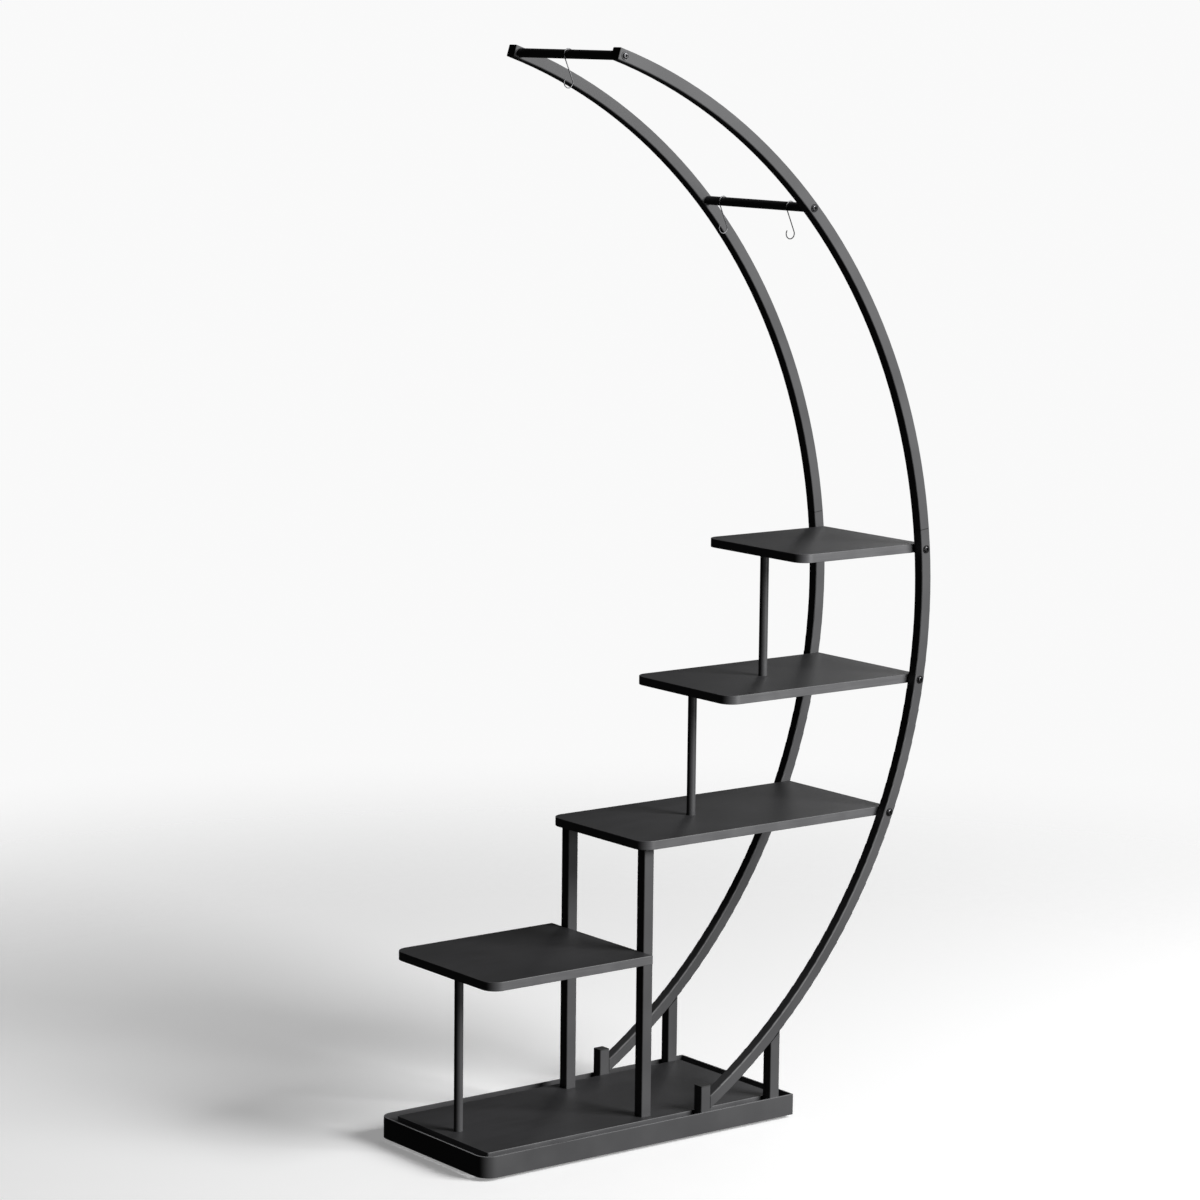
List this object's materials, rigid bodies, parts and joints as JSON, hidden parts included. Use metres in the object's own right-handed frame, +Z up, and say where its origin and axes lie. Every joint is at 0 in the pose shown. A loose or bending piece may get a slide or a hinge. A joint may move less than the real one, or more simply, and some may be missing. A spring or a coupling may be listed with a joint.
{
  "type": "tiered plant stand",
  "caption": "Half-moon plant stand: arched square steel tubes on a low base carry stepped black shelves and crossbars with S hooks for hanging baskets.",
  "frame": {"origin": "middle of the stand's outside box, on the floor under the levelling feet", "axes": "+Z up; +X from the low shelf's end towards the arches' outermost point; +Y from the front arch to the rear arch"},
  "size_m": [0.935, 0.3046, 1.801],
  "materials": {
    "black_steel": "fine satin powder coat",
    "black_laminate": "matt black laminate with a fine grain emboss",
    "black_edge_band": "satin edge band",
    "black_bolt": "semi-gloss black oxide",
    "zinc_steel": "zinc plated",
    "hook_steel": "dark nickel plated wire",
    "black_plastic": "matt moulded plastic",
    "foot_plastic": "matt moulded plastic"
  },
  "bodies": {
    "stand": {"arch_end_plugs": "black_plastic", "arch_foot_plugs": "black_plastic", "arch_sleeves": "zinc_steel", "base_board": "black_laminate", "base_board_edge_band": "black_edge_band", "base_rim": "black_steel", "base_straps": "black_steel", "board_screws": "zinc_steel", "crossbar_bolts": "black_bolt", "crossbar_inserts": "zinc_steel", "foot_nuts": "zinc_steel", "front_arch_foot": "black_steel", "front_lower_arch": "black_steel", "front_square_post": "black_steel", "front_strut": "black_steel", "front_upper_arch": "black_steel", "hook_crossbar": "black_steel", "low_round_post": "black_steel", "low_shelf": "black_laminate", "low_shelf_bolts": "black_bolt", "low_shelf_edge_band": "black_edge_band", "middle_shelf": "black_laminate", "middle_shelf_edge_band": "black_edge_band", "post_screws": "black_bolt", "post_studs": "zinc_steel", "rear_arch_foot": "black_steel", "rear_lower_arch": "black_steel", "rear_square_post": "black_steel", "rear_strut": "black_steel", "rear_upper_arch": "black_steel", "round_post_inserts": "zinc_steel", "shelf_bolts": "black_bolt", "shelf_inserts": "zinc_steel", "square_post_inserts": "zinc_steel", "top_crossbar": "black_steel", "top_round_post": "black_steel", "top_shelf": "black_laminate", "top_shelf_edge_band": "black_edge_band", "upper_round_post": "black_steel", "upper_shelf": "black_laminate", "upper_shelf_edge_band": "black_edge_band"},
    "pad_front_left": {"foot_pad_front_left": "foot_plastic"},
    "stem_front_left": {"foot_stem_front_left": "zinc_steel"},
    "pad_front_right": {"foot_pad_front_right": "foot_plastic"},
    "stem_front_right": {"foot_stem_front_right": "zinc_steel"},
    "pad_rear_left": {"foot_pad_rear_left": "foot_plastic"},
    "stem_rear_left": {"foot_stem_rear_left": "zinc_steel"},
    "pad_rear_right": {"foot_pad_rear_right": "foot_plastic"},
    "stem_rear_right": {"foot_stem_rear_right": "zinc_steel"},
    "top_s_hook_body": {"top_s_hook": "hook_steel"},
    "front_s_hook_body": {"front_s_hook": "hook_steel"},
    "rear_s_hook_body": {"rear_s_hook": "hook_steel"}
  },
  "joints": [
    {"name": "level_front_left", "type": "slide", "parent": "stand", "child": "pad_front_left", "axis": [0, 0, -1], "range_m": [-0.005, 0.007]},
    {"name": "screw_front_left", "type": "hinge", "parent": "pad_front_left", "child": "stem_front_left", "pos_m": [-0.4115, -0.12, 0], "axis": [0, 0, 1], "range_deg": [-2017, 1441]},
    {"name": "level_front_right", "type": "slide", "parent": "stand", "child": "pad_front_right", "axis": [0, 0, -1], "range_m": [-0.005, 0.007]},
    {"name": "screw_front_right", "type": "hinge", "parent": "pad_front_right", "child": "stem_front_right", "pos_m": [0.1328, -0.12, 0], "axis": [0, 0, 1], "range_deg": [-2017, 1441]},
    {"name": "level_rear_left", "type": "slide", "parent": "stand", "child": "pad_rear_left", "axis": [0, 0, -1], "range_m": [-0.005, 0.007]},
    {"name": "screw_rear_left", "type": "hinge", "parent": "pad_rear_left", "child": "stem_rear_left", "pos_m": [-0.4115, 0.12, 0], "axis": [0, 0, 1], "range_deg": [-2017, 1441]},
    {"name": "level_rear_right", "type": "slide", "parent": "stand", "child": "pad_rear_right", "axis": [0, 0, -1], "range_m": [-0.005, 0.007]},
    {"name": "screw_rear_right", "type": "hinge", "parent": "pad_rear_right", "child": "stem_rear_right", "pos_m": [0.1328, 0.12, 0], "axis": [0, 0, 1], "range_deg": [-2017, 1441]},
    {"name": "top_s_hook_swing", "type": "hinge", "parent": "stand", "child": "top_s_hook_body", "pos_m": [-0.20664, 0, 1.78797], "axis": [0, 1, 0], "range_deg": [-50, 50]},
    {"name": "front_s_hook_swing", "type": "hinge", "parent": "stand", "child": "front_s_hook_body", "pos_m": [0.18923, -0.088, 1.54036], "axis": [0, 1, 0], "range_deg": [-50, 50]},
    {"name": "rear_s_hook_swing", "type": "hinge", "parent": "stand", "child": "rear_s_hook_body", "pos_m": [0.18923, 0.088, 1.54036], "axis": [0, 1, 0], "range_deg": [-50, 50]}
  ],
  "couplings": [
    {"joint": "screw_front_left", "follows": "level_front_left", "rad_per_m": -5026.5},
    {"joint": "screw_front_right", "follows": "level_front_right", "rad_per_m": -5026.5},
    {"joint": "screw_rear_left", "follows": "level_rear_left", "rad_per_m": -5026.5},
    {"joint": "screw_rear_right", "follows": "level_rear_right", "rad_per_m": -5026.5}
  ]
}
